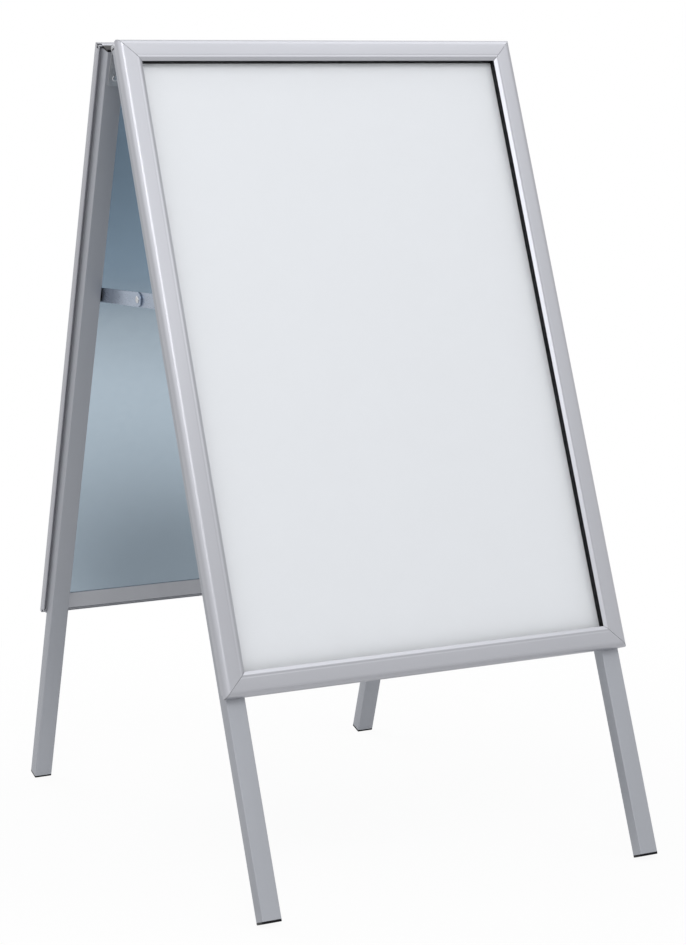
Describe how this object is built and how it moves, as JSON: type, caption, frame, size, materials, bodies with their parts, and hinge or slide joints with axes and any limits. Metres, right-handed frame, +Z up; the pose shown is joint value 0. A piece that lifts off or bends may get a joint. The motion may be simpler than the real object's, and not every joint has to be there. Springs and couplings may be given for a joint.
{
  "type": "outdoor poster stand",
  "caption": "Folding A-shaped pavement stand with a hinged-edge aluminium snap frame for a poster on each face, tube legs with black end caps and folding stays.",
  "frame": {"origin": "on the ground, midway between the leaves and between the legs", "axes": "+Z up, the front leaf faces -Y, +X to the right as seen from the front"},
  "size_m": [0.6516, 0.919, 1.1974],
  "materials": {
    "frame_aluminium": "satin anodised",
    "tube_aluminium": "satin anodised",
    "black_plastic": "moulded",
    "seal_rubber": "matt",
    "galvanised_panel": "galvanised",
    "poster_paper": "blank sheet",
    "clear_plastic": "clear",
    "stay_steel": "zinc plated",
    "hinge_steel": "zinc plated",
    "spring_steel": "plain",
    "rivet_steel": "plain"
  },
  "bodies": {
    "front_leaf": {"front_back_panel": "galvanised_panel", "front_base_bottom": "frame_aluminium", "front_base_left": "frame_aluminium", "front_base_right": "frame_aluminium", "front_base_top": "frame_aluminium", "front_clear_sheet": "clear_plastic", "front_corner_angles": "spring_steel", "front_end_caps": "black_plastic", "front_hinge_leaves": "hinge_steel", "front_hinge_rivets": "rivet_steel", "front_left_leg": "tube_aluminium", "front_poster": "poster_paper", "front_right_leg": "tube_aluminium", "front_springs": "spring_steel", "front_stay_pivots": "rivet_steel", "front_stay_spacers": "black_plastic", "hinge_pins": "hinge_steel"},
    "rear_leaf": {"rear_back_panel": "galvanised_panel", "rear_base_bottom": "frame_aluminium", "rear_base_left": "frame_aluminium", "rear_base_right": "frame_aluminium", "rear_base_top": "frame_aluminium", "rear_clear_sheet": "clear_plastic", "rear_corner_angles": "spring_steel", "rear_end_caps": "black_plastic", "rear_hinge_leaves": "hinge_steel", "rear_hinge_rivets": "rivet_steel", "rear_left_leg": "tube_aluminium", "rear_poster": "poster_paper", "rear_right_leg": "tube_aluminium", "rear_springs": "spring_steel", "rear_stay_pivots": "rivet_steel", "rear_stay_spacers": "black_plastic"},
    "front_top_cover": {"front_cover_top": "frame_aluminium", "front_seal_top": "seal_rubber"},
    "front_bottom_cover": {"front_cover_bottom": "frame_aluminium", "front_seal_bottom": "seal_rubber"},
    "front_left_cover": {"front_cover_left": "frame_aluminium", "front_seal_left": "seal_rubber"},
    "front_right_cover": {"front_cover_right": "frame_aluminium", "front_seal_right": "seal_rubber"},
    "rear_top_cover": {"rear_cover_top": "frame_aluminium", "rear_seal_top": "seal_rubber"},
    "rear_bottom_cover": {"rear_cover_bottom": "frame_aluminium", "rear_seal_bottom": "seal_rubber"},
    "rear_right_cover": {"rear_cover_right": "frame_aluminium", "rear_seal_right": "seal_rubber"},
    "rear_left_cover": {"rear_cover_left": "frame_aluminium", "rear_seal_left": "seal_rubber"},
    "left_front_link": {"left_stay_front_link": "stay_steel"},
    "left_rear_link": {"left_stay_rear_link": "stay_steel", "left_stay_elbow_rivet": "rivet_steel"},
    "right_front_link": {"right_stay_front_link": "stay_steel"},
    "right_rear_link": {"right_stay_rear_link": "stay_steel", "right_stay_elbow_rivet": "rivet_steel"}
  },
  "joints": [
    {"name": "fold", "type": "hinge", "parent": "front_leaf", "child": "rear_leaf", "pos_m": [0, 0, 1.18516], "axis": [1, 0, 0], "range_deg": [-40, 0]},
    {"name": "front_top_snap", "type": "hinge", "parent": "front_leaf", "child": "front_top_cover", "pos_m": [0, -0.03176, 1.19175], "axis": [-1, 0, 0], "range_deg": [0, 88]},
    {"name": "front_bottom_snap", "type": "hinge", "parent": "front_leaf", "child": "front_bottom_cover", "pos_m": [0, -0.35689, 0.29848], "axis": [1, 0, 0], "range_deg": [0, 88]},
    {"name": "front_left_snap", "type": "hinge", "parent": "front_leaf", "child": "front_left_cover", "pos_m": [-0.3229, -0.19432, 0.74512], "axis": [0, -0.342, -0.9397], "range_deg": [0, 88]},
    {"name": "front_right_snap", "type": "hinge", "parent": "front_leaf", "child": "front_right_cover", "pos_m": [0.3229, -0.19432, 0.74512], "axis": [0, 0.342, 0.9397], "range_deg": [0, 88]},
    {"name": "rear_top_snap", "type": "hinge", "parent": "rear_leaf", "child": "rear_top_cover", "pos_m": [0, 0.03176, 1.19175], "axis": [1, 0, 0], "range_deg": [0, 88]},
    {"name": "rear_bottom_snap", "type": "hinge", "parent": "rear_leaf", "child": "rear_bottom_cover", "pos_m": [0, 0.35689, 0.29848], "axis": [-1, 0, 0], "range_deg": [0, 88]},
    {"name": "rear_right_snap", "type": "hinge", "parent": "rear_leaf", "child": "rear_right_cover", "pos_m": [0.3229, 0.19432, 0.74512], "axis": [0, 0.342, -0.9397], "range_deg": [0, 88]},
    {"name": "rear_left_snap", "type": "hinge", "parent": "rear_leaf", "child": "rear_left_cover", "pos_m": [-0.3229, 0.19432, 0.74512], "axis": [0, -0.342, 0.9397], "range_deg": [0, 88]},
    {"name": "left_front_link_pivot", "type": "hinge", "parent": "front_leaf", "child": "left_front_link", "pos_m": [-0.28655, -0.15125, 0.82223], "axis": [1, 0, 0], "range_deg": [0, 63.17]},
    {"name": "left_rear_link_pivot", "type": "hinge", "parent": "rear_leaf", "child": "left_rear_link", "pos_m": [-0.28655, 0.15125, 0.82223], "axis": [1, 0, 0], "range_deg": [-63.17, 0]},
    {"name": "right_front_link_pivot", "type": "hinge", "parent": "front_leaf", "child": "right_front_link", "pos_m": [0.28655, -0.15125, 0.82223], "axis": [1, 0, 0], "range_deg": [0, 63.17]},
    {"name": "right_rear_link_pivot", "type": "hinge", "parent": "rear_leaf", "child": "right_rear_link", "pos_m": [0.28655, 0.15125, 0.82223], "axis": [1, 0, 0], "range_deg": [-63.17, 0]}
  ],
  "couplings": [
    {"joint": "left_front_link_pivot", "follows": "fold", "ratio": -1.5791},
    {"joint": "left_rear_link_pivot", "follows": "fold", "ratio": 1.5791},
    {"joint": "right_front_link_pivot", "follows": "fold", "ratio": -1.5791},
    {"joint": "right_rear_link_pivot", "follows": "fold", "ratio": 1.5791}
  ]
}
